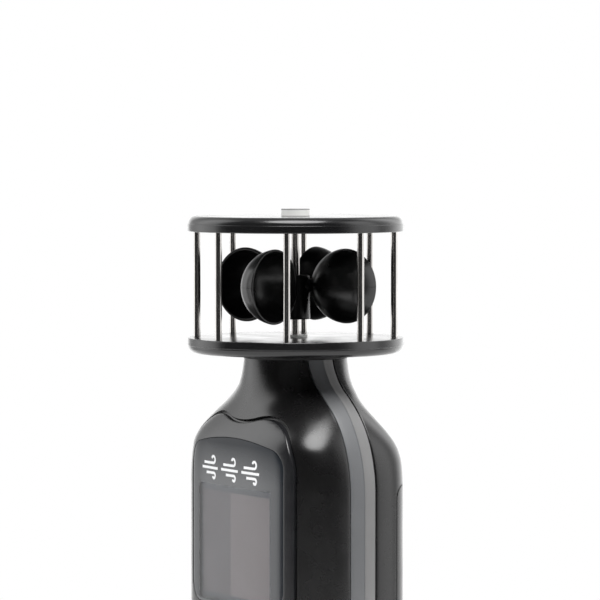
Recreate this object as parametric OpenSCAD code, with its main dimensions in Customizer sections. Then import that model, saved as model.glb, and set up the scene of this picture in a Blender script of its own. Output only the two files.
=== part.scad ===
// Handheld cup anemometer: a caged four-cup rotor on the neck of a slim two-part case.
// Origin: middle of the flat base. +Z up along the rotor's axis, the display faces -Y.

/* [Wind cage] */
// Diameter of the two round discs
disc_d = 50; // [49:0.5:54]
// Thickness of each disc
disc_t = 3.6; // [3.4:0.1:5]
// Clear height between the discs
cage_gap = 24.5; // [24:0.5:28]
// Diameter of a cage rod
rod_d = 1.6; // [1.2:0.1:1.7]
// Radius of the circle that the rods stand on
rod_circle_r = 22.85; // [22.8:0.05:23]
// Turn of the first rod from the right-hand side
rod_turn = 9.2; // [0:0.1:45]

/* [Rotor] */
// Outside radius of a cup's bowl
cup_r = 8.7; // [8.2:0.1:8.7]
// How far a cup's bowl stops short of a full half ball
cup_cut = 1.1; // [0.5:0.1:1.5]
// Wall of a cup
cup_wall = 0.6; // [0.5:0.1:1]
// Distance from the spindle to the middle of a cup's rim
arm_r = 12.5; // [12.5:0.1:12.8]
// Turn of the first arm from the right-hand side, at rest
arm_turn = 37.2; // [0:0.1:90]
// Angle from an arm to the way that its cup faces
cup_face = 75; // [70:0.5:85]
// Height of the cups' middle above the lower disc
cup_mid = 12; // [11.5:0.1:12.5]
// Radius of the hub
hub_r = 3.4; // [3.2:0.1:3.5]
// Diameter of the steel spindle
spindle_d = 2; // [1.6:0.1:2.2]

/* [Case] */
// Height of the lower disc's underside above the base
handle_h = 102; // [100:1:115]
// Half width of the case across the ridges of the two bands
case_hw = 30.4; // [29:0.1:32]
// Half depth of the case at the display
case_hd = 16.9; // [16.5:0.1:18]
// Half width at the top of the neck
neck_hw = 11.6; // [11:0.1:12]
// Half depth at the top of the neck
neck_hd = 12; // [11:0.1:12]
// Radius of the hollow curve under the neck
neck_fillet = 13.4; // [12:0.1:15]
// Radius of the shoulder
shoulder_r = 26; // [22:0.5:28]
// How much higher the front half fills out than the rear half
front_lead = 2.5; // [0:0.5:3]
// Squareness of the case's section: 2 is an ellipse
squareness = 3.5; // [3:0.1:4]
// Wall of the case
wall = 2.2; // [1.8:0.1:2.4]
// Width of each of the two side bands
band_w = 3.4; // [3:0.1:4]
// How far the ridge between the bands stands proud
ridge_h = 0.6; // [0.3:0.1:1]
// Radius of the case's lower corners, seen from the front
foot_r = 10; // [8:0.5:12]

/* [Front panel] */
// Half width of the panel let into the case
bezel_hw = 23.3; // [22.8:0.1:23.5]
// How far the panel stands proud of the case
bezel_proud = 0.2; // [0.1:0.1:0.4]
// Width of the groove round the panel
groove = 0.7; // [0.4:0.1:0.8]
// Half width of the window
window_hw = 20.5; // [20:0.1:20.7]
// Height of the window
window_h = 38.9; // [36:0.1:40]
// Radius of a key
key_r = 4.5; // [4:0.1:4.8]
// Distance from the middle of the case to a key
key_x = 9.5; // [8:0.1:10]
// Travel of a key
key_travel = 0.5; // [0.3:0.1:0.5]

/* [Hidden] */
$fn = 64;

// Cage and rotor, as heights above the base
base_top = handle_h + disc_t;
top_low = base_top + cage_gap;
edge_r = 2;               // rounding of each disc's outer edge
rod_count = 8;
rod_seat = 2;             // how deep a rod sits in each disc
seat_gap = 0.02;          // between a part and the blind hole that it sits in
cap_r = 3.3;
cap_h = 1.6;
bush_r = 2.2;
bush_seat = 2.5;
bush_flange_r = 2.8;
bush_flange = 0.5;
bush_bore_r = spindle_d / 2 + 0.04;
spindle_end = 1.9;
cup_count = 4;
cup_z = base_top + cup_mid;
cup_reach = sqrt(pow(cup_r, 2) - pow(cup_cut * sin(cup_face), 2)) - cup_cut * cos(cup_face);
stem_r = 1.9;
stem_start = 2.1;         // distance from the axis to a cup stem's inner end
hub_low = base_top + 4.2;
hub_high = base_top + 14.4;
magnet_r = 2.5;
magnet_h = 3;
magnet_bore_r = spindle_d / 2 + 0.2;
slip = 0.05;              // gap round a part that is pressed or glued in

// Case outline
seal_h = 1.1;
seal_r = 12.3;
spigot_r = 7.7;
case_h = handle_h - seal_h;
flare_z = case_h + 4.1;   // height at which the neck's hollow curve would start
flare_turn = acos(1 - (case_hw - neck_hw) / (neck_fillet + shoulder_r));
turn_z = flare_z - neck_fillet * sin(flare_turn);
full_z = turn_z - shoulder_r * sin(flare_turn);
depth_top = case_h - 8.9; // between these heights the case grows to its full depth
depth_low = case_h - 23.3;
square_top = case_h - 8.3;
square_low = case_h - 20;
foot_d = 5;               // radius of the lower corners, seen from the side
part_gap = 0.1;           // half of the joint line between the bands
ring_n = 24;
levels = concat(
    [for (t = [0:5]) foot_r * (1 - cos(90 * t / 5))],
    [for (t = [1:4]) foot_r + (full_z - foot_r) * t / 4],
    [for (t = [1:15]) full_z + (case_h - full_z) * t / 15]
);

// Front panel
bezel_top = case_h - 13.2;
bezel_low = 12;
bezel_corner = 13;
bezel_seat = 0.9;         // depth of the recess that the panel lies in
dip_r = 27.4;             // radius of the dip in the panel's top edge
dip_h = 1.35;
window_top = case_h - 18;
window_low = window_top - window_h;
window_corner = 5;
window_arch_r = 85;
lens_proud = 0.1;
lens_t = 0.7;
fit_gap = 0.15;
skin_gap = 0.15;          // between the panel and the bottom of its recess
panel_hw = 25;
panel_low = 10;
panel_n = 18;
panel_m = 20;
key_z = 31;
key_proud = 0.6;
key_flange_r = 5.3;
key_flange = 0.6;
key_back = case_hd - 3.5;

// Inside
lcd_front = case_hd - 1.9;
lcd_t = 2.2;
lcd_hw = 18;
lcd_z = [45, 74];
lcd_frame_hw = 20;
lcd_frame_z = [43, 77];
lcd_view = 0.5;           // margin of the frame's opening inside the display's edge
connector_hw = 17;
connector_t = 1;          // half thickness of a display connector
connector_in = 1.5;       // from the display's edge to a connector's middle
board_front = 9.6;
board_t = 1.6;
board_hw = 21;
board_z = [13, 84];
board_corner = 2;
chip = [5, 1.4, 5];       // half width, thickness and half height
chip_z = 59;
switch_hw = 3;
switch_t = 3;
plunger_r = 1.6;
sensor_board_y = [-1.5, -0.3];
sensor_board_z = [78, 98];
sensor_board_hw = 4;
sensor_hw = 2;
sensor_t = 1.5;
sensor_z = 95.5;
ribbon_hw = 2.5;
ribbon_z = [79.5, 80];
slot_l = 1.2;             // half length and half width of a screw head's cross slot
slot_w = 0.2;
slot_y = 0.7;
screw_r = 1;
screw_head_r = 1.8;
screw_head = 1.4;
boss_r = 2.9;
boss_x = case_hw - 6.2;
boss_z = [16, 66];
front_boss_end = 10.6;
rear_boss_end = 7.3;
screw_tip = -8;
cage_screw_y = 5.6;
bush_hole_r = 2.6;        // minor radius of a 1/4-20 thread
tripod_r = 4.2;
tripod_h = 7;
tripod_flange_r = 5.4;
tripod_flange = 1.2;
eyelet_r = 6.4;           // the bands widen to this radius round the tripod bush
door_edge = 9.7;          // depth at which the battery door's side edges lie
door_top = case_h - 28;
door_corner = 3;
tray_y = 0.8;
tray_t = 1.2;
tray_low = 12;
tray_high = 66;
tray_hw = 21;
well_hw = 12.6;
well_h = 7.2;
cell_r = 5.2;
cell_h = 44.5;
cell_x = 5.7;
cell_y = tray_y + tray_t + cell_r + 0.1;
plate_t = 0.4;
plate_low = tray_low + 1 + slip;
plate_high = tray_high - 1 - slip - plate_t;
nub_r = 1.9;
nub_h = 1;
spring_r = 3;
spring_wire = 0.35;
spring_turns = 3;
spring_h = plate_high - plate_low - plate_t - cell_h - 3 * slip;

function smooth(t) = let (c = min(1, max(0, t))) c * c * (3 - 2 * c);

// Half width of the case at height z, at the ridge between the bands
function ridge_w(z) =
    z > turn_z ? neck_hw + neck_fillet - sqrt(pow(neck_fillet, 2) - pow(flare_z - z, 2))
    : z > full_z ? case_hw - shoulder_r + sqrt(pow(shoulder_r, 2) - pow(z - full_z, 2))
    : z > foot_r ? case_hw
    : case_hw - foot_r + sqrt(pow(foot_r, 2) - pow(foot_r - z, 2));

// Half width of the case's shells, which the ridge stands proud of
function half_w(z) = ridge_w(z) - ridge_h * smooth(z / foot_r);

// Half depth of a half of the case. Its curve sits higher by lead
function half_d(z, lead) = let (
    t = (depth_top + lead - z) / (depth_top - depth_low),
    d = neck_hd + (case_hd - neck_hd) * smooth(t)
) z > foot_d ? d : d - foot_d + sqrt(pow(foot_d, 2) - pow(foot_d - z, 2));

function power(z) =
    2 + (squareness - 2) * smooth((square_top - z) / (square_top - square_low));

// Depth of a superellipse of half sizes w and d at x
function depth_at(x, w, d, n) = d * pow(max(0, 1 - pow(abs(x) / w, n)), 1 / n);

// Rear half of the case's section at height z, drawn in by inset
function half_ring(z, inset, lead) = let (
    w = half_w(z) - inset,
    d = half_d(z, lead) - inset,
    n = power(z),
    first = asin(pow(band_w / d, n / 2))
) [for (i = [0:ring_n]) let (
    a = first + (180 - 2 * first) * i / ring_n
) [w * sign(cos(a)) * pow(abs(cos(a)), 2 / n), d * pow(sin(a), 2 / n)]];

// Height of the inner skin that belongs to height z of the outer skin
function inner_z(z, t, roof) = t + z * (case_h - t - roof) / case_h;

// Faces of a grid of points with n steps one way and m the other
function grid_faces(n, m, first, flip) = [
    for (j = [0:m - 1], i = [0:n - 1]) let (
        a = first + j * (n + 1) + i,
        b = a + n + 1
    ) flip ? [a, a + 1, b + 1, b] : [a, b, b + 1, a + 1]
];

function reversed(v) = [for (i = [len(v) - 1:-1:0]) v[i]];

// The rear half of the hollow case, from the band's edge backwards
module half_case(lead) {
    n = ring_n;
    m = len(levels) - 1;
    inner = (n + 1) * (m + 1);
    last = inner + m * (n + 1);
    outer_skin = [for (z = levels) for (p = half_ring(z, 0, lead)) [p[0], p[1], z]];
    inner_skin = [for (z = levels) let (zi = inner_z(z, wall, wall))
        for (p = half_ring(zi, wall, lead)) [p[0], p[1], zi]];
    floor_ring = [for (i = [0:n]) i];
    rim = [for (j = [0:m - 1]) let (a = j * (n + 1), b = a + n + 1)
        each [
            [a, inner + a, inner + b, b],
            [a + n, b + n, inner + b + n, inner + a + n]
        ]];
    ends = [
        floor_ring,
        reversed([for (i = floor_ring) m * (n + 1) + i]),
        reversed([for (i = floor_ring) inner + i]),
        [for (i = floor_ring) last + i],
        [n, inner + n, inner, 0],
        [last + n, m * (n + 1) + n, m * (n + 1), last]
    ];
    polyhedron(
        concat(outer_skin, inner_skin),
        concat(grid_faces(n, m, 0, false), grid_faces(n, m, inner, true), rim, ends)
    );
}

// One side band: a frame that runs down one side, under the base and up the other side
module half_band(lead) {
    side = [for (z = levels) let (
        zi = inner_z(z, wall, 0),
        n = power(z),
        shell_x = half_w(z) * pow(1 - pow(band_w / half_d(z, lead), n), 1 / n)
    ) [
        [ridge_w(z), part_gap, z],
        [shell_x, band_w - part_gap, z],
        [half_w(zi) - wall, band_w - part_gap, zi],
        [half_w(zi) - wall, part_gap, zi]
    ]];
    stations = concat(
        reversed(side),
        [for (s = side) [for (p = s) [-p[0], p[1], p[2]]]]
    );
    count = len(stations);
    polyhedron(
        [for (s = stations) each s],
        concat(
            [for (k = [0:count - 2], i = [0:3]) let (j = (i + 1) % 4)
                [4 * k + i, 4 * k + j, 4 * k + 4 + j, 4 * k + 4 + i]],
            [[3, 2, 1, 0], [for (i = [0:3]) 4 * (count - 1) + i]]
        )
    );
}

// A curved sheet that follows the front of the case, between two heights over its surface
module front_skin(low, high) {
    n = panel_n;
    m = panel_m;
    top = bezel_top + 2;
    under = (n + 1) * (m + 1);
    skins = [for (lift = [high, low], j = [0:m], i = [0:n]) let (
        z = panel_low + (top - panel_low) * j / m,
        x = min(panel_hw, 0.96 * half_w(z)) * (2 * i / n - 1)
    ) [x, -depth_at(x, half_w(z), half_d(z, front_lead), power(z)) - lift, z]];
    sides = [
        for (j = [0:m - 1]) let (a = j * (n + 1), b = a + n + 1)
            each [
                [a, under + a, under + b, b],
                [a + n, b + n, under + b + n, under + a + n]
            ],
        for (i = [0:n - 1]) let (a = i, b = m * (n + 1) + i)
            each [
                [a, a + 1, under + a + 1, under + a],
                [b, under + b, under + b + 1, b + 1]
            ]
    ];
    polyhedron(
        skins,
        concat(grid_faces(n, m, 0, false), grid_faces(n, m, under, true), sides)
    );
}

module rounded(hw, low, high, r) {
    translate([-hw, low + r]) square([2 * hw, high - low - 2 * r]);
    translate([-hw + r, low]) square([2 * (hw - r), high - low]);
    for (x = [-hw + r, hw - r], z = [low + r, high - r]) translate([x, z]) circle(r = r);
}

module window_outline(gap) {
    intersection() {
        rounded(window_hw + gap, window_low - gap, window_top + gap, window_corner);
        translate([0, window_top - window_arch_r]) circle(r = window_arch_r + gap, $fn = 128);
    }
}

module bezel_outline(gap) {
    difference() {
        rounded(bezel_hw + gap, bezel_low - gap, bezel_top + gap, bezel_corner + gap);
        translate([0, bezel_top + dip_r - dip_h]) circle(r = dip_r - gap);
    }
}

// Draws an outline of x and z from the middle plane out through the front
module through_front() {
    rotate([90, 0, 0]) linear_extrude(30) children();
}

// A cylinder along +Y from y_low to y_high
module y_rod(x, z, r, y_low, y_high) {
    translate([x, y_low, z]) rotate([-90, 0, 0]) cylinder(r = r, h = y_high - y_low);
}

module box(low, high) {
    translate(low) cube(high - low);
}

module rod_places() {
    for (k = [0:rod_count - 1]) rotate(rod_turn + 360 / rod_count * k)
        translate([rod_circle_r, 0, 0]) children();
}

// Cage disc lying on z = 0 with its outer edge rounded at the top
module disc_body() {
    rotate_extrude($fn = 128) intersection() {
        union() {
            square([disc_d / 2 - edge_r, disc_t]);
            square([disc_d / 2, disc_t - edge_r]);
            translate([disc_d / 2 - edge_r, disc_t - edge_r]) circle(r = edge_r);
        }
        square([disc_d / 2, disc_t]);
    }
}

module top_disc() {
    color("#17181a") difference() {
        translate([0, 0, top_low]) disc_body();
        translate([0, 0, top_low - 1]) cylinder(r = bush_r + slip, h = disc_t + 2);
        rod_places() translate([0, 0, top_low - 1])
            cylinder(r = rod_d / 2 + seat_gap, h = rod_seat + 1);
    }
}

module base_disc() {
    color("#17181a") difference() {
        union() {
            translate([0, 0, base_top]) mirror([0, 0, 1]) disc_body();
            translate([0, 0, case_h]) cylinder(r = spigot_r, h = seal_h + 1);
        }
        translate([0, 0, base_top - bush_seat - slip])
            cylinder(r = bush_r + slip, h = bush_seat + 1);
        rod_places() translate([0, 0, base_top - rod_seat])
            cylinder(r = rod_d / 2 + seat_gap, h = rod_seat + 1);
        for (y = [-cage_screw_y, cage_screw_y]) translate([0, y, case_h - 1])
            cylinder(r = screw_r, h = 4);
    }
}

module bearing_cap() {
    color("#e4e4e0") {
        translate([0, 0, top_low + disc_t]) cylinder(r = cap_r, h = cap_h);
        translate([0, 0, top_low + bush_seat + 3 * slip])
            cylinder(r = bush_r, h = disc_t - bush_seat);
    }
}

// Flanged bush with a blind bore, mouth upwards at z = 0
module bush() {
    difference() {
        union() {
            translate([0, 0, -bush_seat]) cylinder(r = bush_r, h = bush_seat);
            cylinder(r = bush_flange_r, h = bush_flange);
        }
        translate([0, 0, -spindle_end - slip])
            cylinder(r = bush_bore_r, h = spindle_end + bush_flange + 1);
    }
}

module upper_bearing() {
    color("#e4e4e0") translate([0, 0, top_low]) mirror([0, 0, 1]) bush();
}

module lower_bearing() {
    color("#e4e4e0") translate([0, 0, base_top]) bush();
}

module cage_rod(k) {
    color("#8b8d90") rotate(rod_turn + 360 / rod_count * (k - 1))
        translate([rod_circle_r, 0, base_top - rod_seat + seat_gap])
            cylinder(d = rod_d, h = cage_gap + 2 * (rod_seat - seat_gap));
}

module spindle() {
    color("#8b8d90") translate([0, 0, base_top - spindle_end])
        cylinder(d = spindle_d, h = cage_gap + 2 * spindle_end);
}

module rotor_hub() {
    color("#1b1c1e") difference() {
        translate([0, 0, hub_low]) cylinder(r = hub_r, h = hub_high - hub_low);
        translate([0, 0, hub_low - 1]) cylinder(r = spindle_d / 2 + slip / 5, h = 20);
        translate([0, 0, hub_low - 1]) cylinder(r = magnet_r + slip, h = magnet_h + 1 + slip);
        for (k = [0:cup_count - 1]) rotate(arm_turn + 360 / cup_count * k)
            translate([stem_start - slip, 0, cup_z]) rotate([0, 90, 0])
                cylinder(r = stem_r + slip / 5, h = hub_r);
    }
}

module rotor_magnet() {
    color("#55575a") translate([0, 0, hub_low]) difference() {
        cylinder(r = magnet_r, h = magnet_h);
        translate([0, 0, -1]) cylinder(r = magnet_bore_r, h = magnet_h + 2);
    }
}

// A ball of radius r cut off at height high. Its middle lies cup_cut above the cups' rims
module bowl(r, high) {
    rotate([0, 90, 0]) rotate_extrude($fn = 96) intersection() {
        translate([0, cup_cut]) circle(r = r, $fn = 96);
        translate([0, -2 * r]) square([2 * r, 2 * r + high]);
    }
}

module cup(k) {
    color("#1b1c1e") rotate(arm_turn + 360 / cup_count * (k - 1)) translate([0, 0, cup_z])
        difference() {
            union() {
                translate([arm_r, 0, 0]) rotate(cup_face) bowl(cup_r, 0);
                translate([stem_start, 0, 0]) rotate([0, 90, 0])
                    cylinder(r = stem_r, h = arm_r - cup_reach + cup_wall - stem_start);
            }
            translate([arm_r, 0, 0]) rotate(cup_face) bowl(cup_r - cup_wall, cup_cut);
        }
}

module neck_seal() {
    color("#0d0d0e") translate([0, 0, case_h]) difference() {
        cylinder(r = seal_r, h = seal_h, $fn = 96);
        translate([0, 0, -1]) cylinder(r = spigot_r + slip, h = seal_h + 2);
    }
}

module cage_screws() {
    color("#9a9da0") for (y = [-cage_screw_y, cage_screw_y]) translate([0, y, 0]) {
        translate([0, 0, case_h - wall]) cylinder(r = screw_r - seat_gap, h = wall + 2.8);
        translate([0, 0, case_h - wall - screw_head]) cylinder(r = screw_head_r, h = screw_head);
    }
}

module tripod_hole(r) {
    translate([0, 0, -1]) cylinder(r = r + slip, h = wall + 1 + slip);
}

module boss_places() {
    for (x = [-boss_x, boss_x], z = boss_z) translate([x, 0, z]) children();
}

module front_shell() {
    color("#1a1b1d") difference() {
        union() {
            mirror([0, 1, 0]) half_case(front_lead);
            boss_places() y_rod(0, 0, boss_r, -front_boss_end, -part_gap);
        }
        intersection() {
            front_skin(-bezel_seat, 2);
            through_front() bezel_outline(groove);
        }
        through_front() window_outline(fit_gap);
        for (x = [-key_x, key_x]) y_rod(x, key_z, key_r + fit_gap, -25, -10);
        boss_places() y_rod(0, 0, screw_r, screw_tip - slip, 1);
        translate([0, -cage_screw_y, case_h - 4]) cylinder(r = screw_r + slip, h = 5);
        tripod_hole(eyelet_r);
    }
}

// The space behind the case that the battery door fills, grown by gap
module door_space(gap) {
    translate([-40, 0, 0]) rotate([90, 0, 90]) linear_extrude(80) polygon([
        [door_edge - gap, -5],
        [door_edge - gap, door_top - door_corner + gap],
        [door_edge + door_corner - gap, door_top + gap],
        [door_edge + 30, door_top + gap],
        [door_edge + 30, -5]
    ]);
}

module rear_shell() {
    color("#1a1b1d") difference() {
        union() {
            half_case(0);
            boss_places() y_rod(0, 0, boss_r, part_gap, rear_boss_end);
        }
        door_space(fit_gap);
        boss_places() y_rod(0, 0, screw_r + slip, -1, 20);
        translate([0, cage_screw_y, case_h - 4]) cylinder(r = screw_r + slip, h = 5);
        tripod_hole(eyelet_r);
    }
}

module battery_door() {
    color("#1a1b1d") intersection() {
        half_case(0);
        door_space(0);
    }
}

// The rear band with the half eyelet that holds the tripod bush
module band(lead) {
    difference() {
        union() {
            half_band(lead);
            intersection() {
                cylinder(r = eyelet_r, h = wall);
                translate([-eyelet_r, part_gap, 0]) cube([2 * eyelet_r, eyelet_r, wall]);
            }
        }
        tripod_hole(tripod_r);
    }
}

module front_band() {
    color("#7c7f84") mirror([0, 1, 0]) band(front_lead);
}

module rear_band() {
    color("#9a9da1") band(0);
}

module bezel() {
    color("#2b2c30") difference() {
        intersection() {
            front_skin(skin_gap - bezel_seat, bezel_proud);
            through_front() bezel_outline(0);
        }
        through_front() window_outline(fit_gap);
        for (x = [-key_x, key_x]) y_rod(x, key_z, key_r + fit_gap, -25, -10);
    }
}

module window_lens() {
    color("#6b6e73") intersection() {
        front_skin(lens_proud - lens_t, lens_proud);
        through_front() window_outline(0);
    }
}

module lcd_module() {
    color("#8b8278") box(
        [-lcd_hw, -lcd_front, lcd_z[0]],
        [lcd_hw, -lcd_front + lcd_t, lcd_z[1]]
    );
}

module lcd_frame() {
    front = -lcd_front + lcd_t + slip;
    view_hw = lcd_hw - lcd_view;
    color("#e6e6e2") difference() {
        box([-lcd_frame_hw, front, lcd_frame_z[0]], [lcd_frame_hw, -board_front - slip, lcd_frame_z[1]]);
        box([-view_hw, front - 1, lcd_z[0]], [view_hw, -board_front + 1, lcd_z[1]]);
    }
}

module lcd_connector(z) {
    color("#cc6f8c") box(
        [-connector_hw, -lcd_front + lcd_t + slip, z - connector_t],
        [connector_hw, -board_front - slip, z + connector_t]
    );
}

module main_board() {
    color("#1f5a34") translate([0, -board_front + board_t, 0]) rotate([90, 0, 0])
        linear_extrude(board_t) rounded(board_hw, board_z[0], board_z[1], board_corner);
}

module microcontroller() {
    low_y = -board_front + board_t + slip;
    color("#202124") box(
        [-chip[0], low_y, chip_z - chip[2]],
        [chip[0], low_y + chip[1], chip_z + chip[2]]
    );
}

module tact_switch(x) {
    color("#3a3b3d") {
        box(
            [x - switch_hw, -board_front - switch_t, key_z - switch_hw],
            [x + switch_hw, -board_front - slip, key_z + switch_hw]
        );
        y_rod(x, key_z, plunger_r, -key_back + key_travel + fit_gap, -board_front - 2);
    }
}

module button(x) {
    color("#3c3e42") {
        y_rod(x, key_z, key_r, -case_hd - key_proud, -key_back);
        y_rod(x, key_z, key_flange_r, -key_back - key_flange, -key_back);
    }
}

module sensor_board() {
    color("#1f5a34") box(
        [-sensor_board_hw, sensor_board_y[0], sensor_board_z[0]],
        [sensor_board_hw, sensor_board_y[1], sensor_board_z[1]]
    );
}

module speed_sensor() {
    low_y = sensor_board_y[1] + slip;
    color("#202124") box(
        [-sensor_hw, low_y, sensor_z - sensor_hw],
        [sensor_hw, low_y + sensor_t, sensor_z + sensor_hw]
    );
}

module sensor_ribbon() {
    color("#c9c9c4") box(
        [-ribbon_hw, -board_front + board_t + slip, ribbon_z[0]],
        [ribbon_hw, sensor_board_y[0] - slip, ribbon_z[1]]
    );
}

module case_screws() {
    head_y = rear_boss_end + slip;
    color("#9a9da0") boss_places() {
        y_rod(0, 0, screw_r - seat_gap, screw_tip, head_y);
        difference() {
            y_rod(0, 0, screw_head_r, head_y, head_y + screw_head);
            box([-slot_l, head_y + slot_y, -slot_w], [slot_l, head_y + 3, slot_w]);
            box([-slot_w, head_y + slot_y, -slot_l], [slot_w, head_y + 3, slot_l]);
        }
    }
}

module tripod_bush() {
    color("#b9914b") difference() {
        union() {
            cylinder(r = tripod_r, h = tripod_h);
            translate([0, 0, wall + slip]) cylinder(r = tripod_flange_r, h = tripod_flange);
        }
        translate([0, 0, -1]) cylinder(r = bush_hole_r, h = tripod_h + 2);
    }
}

module battery_tray() {
    color("#1a1b1d") difference() {
        union() {
            box([-tray_hw, tray_y, tray_low], [tray_hw, tray_y + tray_t, tray_high]);
            box([-well_hw - 1, tray_y, tray_low], [well_hw + 1, tray_y + well_h, tray_high]);
        }
        box([-well_hw, tray_y + tray_t, tray_low + 1], [well_hw, 20, tray_high - 1]);
    }
}

// A round cell with its plus end up, standing on z = 0
module cell() {
    cylinder(r = cell_r, h = cell_h - nub_h);
    cylinder(r = nub_r, h = cell_h);
}

// The first cell presses up against the upper plate and the second one down on the lower
module battery_1() {
    color("#b4552d") translate([-cell_x, cell_y, plate_high - slip - cell_h]) cell();
}

module battery_2() {
    color("#b4552d") translate([cell_x, cell_y, plate_low + plate_t + slip + cell_h])
        mirror([0, 0, 1]) cell();
}

module contact_plate(low) {
    color("#c8cacc") box(
        [-well_hw + 0.5, tray_y + tray_t + slip, low],
        [well_hw - 0.5, cell_y + 3, low + plate_t]
    );
}

// A cone spring from z = 0 up to height h
module cone_spring(h) {
    sides = 6;
    steps = 14 * spring_turns;
    points = [for (k = [0:steps], i = [0:sides - 1]) let (
        a = 360 * spring_turns * k / steps,
        r = spring_r - 1.2 * k / steps + spring_wire * cos(360 * i / sides),
        z = spring_wire + (h - 2 * spring_wire) * k / steps + spring_wire * sin(360 * i / sides)
    ) [r * cos(a), r * sin(a), z]];
    polyhedron(points, concat(
        [for (k = [0:steps - 1], i = [0:sides - 1]) let (j = (i + 1) % sides)
            [sides * k + i, sides * k + j, sides * k + sides + j, sides * k + sides + i]],
        [reversed([for (i = [0:sides - 1]) i]), [for (i = [0:sides - 1]) sides * steps + i]]
    ));
}

// The springs fill what the cells leave free between the two plates
module contact_spring_1() {
    color("#c8cacc") translate([-cell_x, cell_y, plate_low + plate_t + slip])
        cone_spring(spring_h);
}

module contact_spring_2() {
    color("#c8cacc") translate([cell_x, cell_y, plate_high - slip])
        mirror([0, 0, 1]) cone_spring(spring_h);
}

top_disc();
base_disc();
bearing_cap();
upper_bearing();
lower_bearing();
for (k = [1:rod_count]) cage_rod(k);
spindle();
rotor_hub();
rotor_magnet();
for (k = [1:cup_count]) cup(k);
neck_seal();
cage_screws();
front_shell();
rear_shell();
front_band();
rear_band();
bezel();
window_lens();
lcd_module();
lcd_frame();
lcd_connector(lcd_z[0] + connector_in);  // lcd_connector_1
lcd_connector(lcd_z[1] - connector_in);  // lcd_connector_2
main_board();
microcontroller();
tact_switch(-key_x);  // switch_1
tact_switch(key_x);  // switch_2
button(-key_x);  // button_1
button(key_x);  // button_2
sensor_board();
speed_sensor();
sensor_ribbon();
case_screws();
tripod_bush();
battery_tray();
battery_1();
battery_2();
contact_plate(plate_low);  // contact_plate_1
contact_plate(plate_high);  // contact_plate_2
contact_spring_1();
contact_spring_2();
battery_door();
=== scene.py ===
import math
import bpy
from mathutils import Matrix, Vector
from mathutils.geometry import delaunay_2d_cdt


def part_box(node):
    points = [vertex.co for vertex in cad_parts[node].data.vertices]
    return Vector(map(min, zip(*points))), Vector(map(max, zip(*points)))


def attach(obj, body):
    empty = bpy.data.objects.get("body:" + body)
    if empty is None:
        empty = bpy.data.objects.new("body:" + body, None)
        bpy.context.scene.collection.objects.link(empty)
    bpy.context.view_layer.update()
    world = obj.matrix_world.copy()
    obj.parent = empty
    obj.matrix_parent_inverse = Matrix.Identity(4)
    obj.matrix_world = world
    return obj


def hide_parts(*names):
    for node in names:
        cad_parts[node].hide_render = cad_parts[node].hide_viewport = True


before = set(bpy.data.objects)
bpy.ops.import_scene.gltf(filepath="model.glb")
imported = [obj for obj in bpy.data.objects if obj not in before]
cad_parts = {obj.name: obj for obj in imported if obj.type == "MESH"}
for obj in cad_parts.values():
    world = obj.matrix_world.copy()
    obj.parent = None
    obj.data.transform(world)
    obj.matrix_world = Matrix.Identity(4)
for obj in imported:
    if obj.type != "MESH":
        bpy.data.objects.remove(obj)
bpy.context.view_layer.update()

# Lengths below are in millimetres, and MM turns them into metres.
MM = 0.001


def high(node, axis):
    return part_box(node)[1][axis] / MM


def low(node, axis):
    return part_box(node)[0][axis] / MM


X, Z = 0, 2

# Cage and rotor
BASE_TOP = high("base_disc", Z)
BASE_LOW = high("neck_seal", Z)
TOP_LOW = low("top_disc", Z)
TOP_HIGH = high("top_disc", Z)
DISC_R = high("top_disc", X)
DISC_T = TOP_HIGH - TOP_LOW
BORE_R = 2.25
CAP_R = 3.3
CAP_H = 1.6
# Thickness of the grey plate that paints shade on the cap's top
CAP_SHADE_PLATE = 0.25
CAP_PLUG_R = 2.1
CAP_PLUG_H = 0.9
ROD_R = 0.8
SPINDLE_R = 1.0
ROD_CIRCLE_R = 22.85
ROD_TURN = 9.2
ROD_COUNT = 8
CUP_COUNT = 4
CUP_R = 8.7
CUP_CUT = 1.1
CUP_WALL = 0.6
ARM_R = 12.5
ARM_TURN = 37.2
CUP_FACE = 75
CUP_Z = BASE_TOP + 12
HUB_R = 3.4
HUB_LOW = low("rotor_hub", Z)
HUB_HIGH = high("rotor_hub", Z)
STEM_R = 1.9
STEM_START = 2.1
CUP_REACH = (math.sqrt(CUP_R ** 2 - (CUP_CUT * math.sin(math.radians(CUP_FACE))) ** 2)
             - CUP_CUT * math.cos(math.radians(CUP_FACE)))

# Case outline: the same curves as the CAD shells follow
CASE_H = low("neck_seal", Z)
CASE_HW = high("rear_band", X)
CASE_HD = 16.9
NECK_HW = 11.6
NECK_HD = 12.0
FRONT_LEAD = 2.5
SEAL_R = 12.3
SPIGOT_R = 7.7
NECK_FILLET = 13.4
SHOULDER_R = 26.0
SQUARENESS = 3.5
WALL = 2.2
BAND_W = 3.4
RIDGE_H = 0.6
FOOT_R = 10.0
FOOT_D = 5.0
FLARE_Z = CASE_H + 4.1
FLARE_TURN = math.acos(1 - (CASE_HW - NECK_HW) / (NECK_FILLET + SHOULDER_R))
TURN_Z = FLARE_Z - NECK_FILLET * math.sin(FLARE_TURN)
FULL_Z = TURN_Z - SHOULDER_R * math.sin(FLARE_TURN)
DEPTH_TOP, DEPTH_LOW = CASE_H - 8.9, CASE_H - 23.3
SQUARE_TOP, SQUARE_LOW = CASE_H - 8.3, CASE_H - 20
DOOR_EDGE = 9.7
DOOR_TOP = CASE_H - 28
DOOR_CORNER = 3.0

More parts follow.
